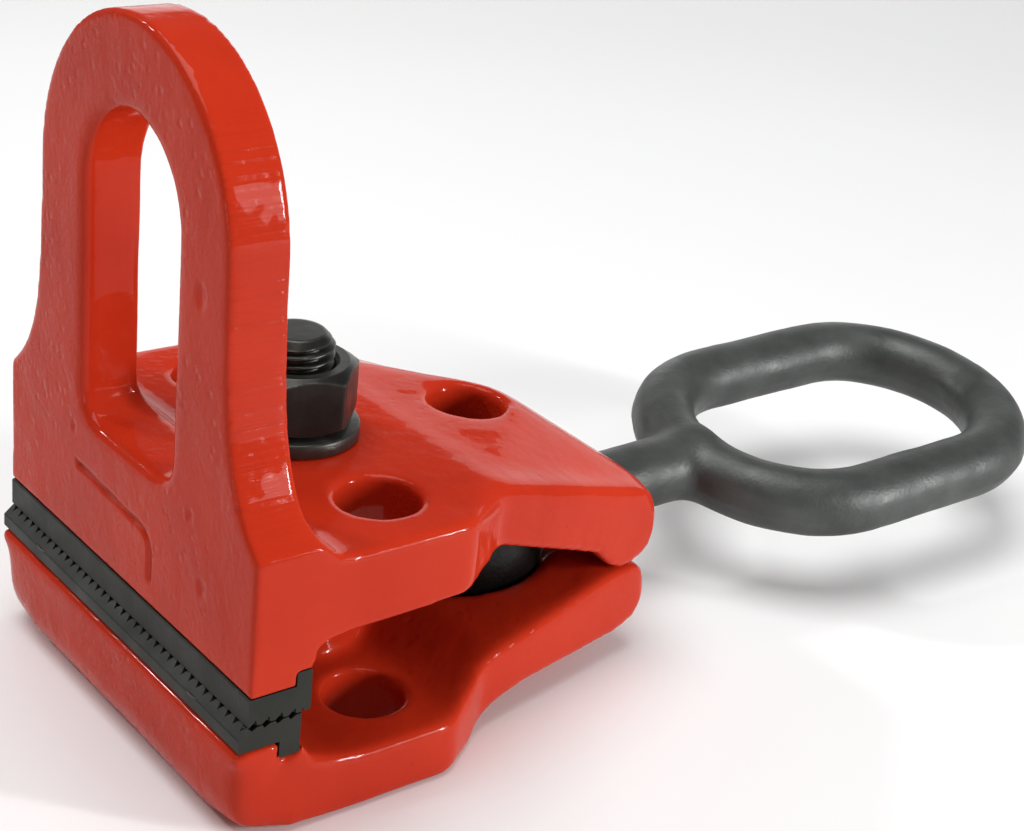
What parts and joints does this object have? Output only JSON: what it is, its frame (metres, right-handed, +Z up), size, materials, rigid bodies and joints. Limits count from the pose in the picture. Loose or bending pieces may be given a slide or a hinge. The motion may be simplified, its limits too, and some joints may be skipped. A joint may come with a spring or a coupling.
{
  "type": "pull clamp",
  "caption": "Self-tightening pull clamp: two cast jaws with toothed inserts, a centre bolt, an upright pulling loop and a swivelling pull ring.",
  "frame": {"origin": "centre of the bolt head's underside, which is level with the lower jaw's underside", "axes": "+Z up along the bolt; +X rearward, the way the ring pulls; -X is the biting edge; Y runs across the jaws"},
  "size_m": [0.2599, 0.1, 0.1474],
  "materials": {
    "red_enamel": "thick glossy red enamel over a cast surface",
    "tool_steel": "satin hardened tool steel, blackened",
    "black_steel": "oiled black oxide",
    "forged_steel": "satin grey phosphate over a forged skin"
  },
  "bodies": {
    "lower_jaw": {"lower_jaw": "red_enamel", "lower_insert": "tool_steel", "lower_insert_screw_1": "black_steel", "lower_insert_screw_2": "black_steel", "bolt": "black_steel"},
    "upper_jaw": {"upper_jaw": "red_enamel", "upper_insert": "tool_steel", "upper_insert_screw_1": "black_steel", "upper_insert_screw_2": "black_steel"},
    "washer": {"washer": "black_steel"},
    "nut": {"nut": "black_steel"},
    "pull_ring": {"pull_ring": "forged_steel"}
  },
  "joints": [
    {"name": "nut_turn", "type": "hinge", "parent": "washer", "child": "nut", "pos_m": [0, 0, 0.0681], "axis": [0, 0, 1], "range_deg": [0, 1332]},
    {"name": "washer_lift", "type": "slide", "parent": "lower_jaw", "child": "washer", "axis": [0, 0, 1], "range_m": [0, 0.00741]},
    {"name": "jaw_opening", "type": "hinge", "parent": "lower_jaw", "child": "upper_jaw", "pos_m": [0.0697, 0, 0.0232], "axis": [0, 1, 0], "range_deg": [0, 5.01]},
    {"name": "ring_swivel", "type": "hinge", "parent": "lower_jaw", "child": "pull_ring", "pos_m": [0.0457, 0, 0.0245], "axis": [0, 0, 1], "range_deg": [-9, 12]}
  ],
  "couplings": [
    {"joint": "washer_lift", "follows": "nut_turn", "m_per_rad": 0.00031831},
    {"joint": "jaw_opening", "follows": "nut_turn", "ratio": 0.0037537}
  ]
}
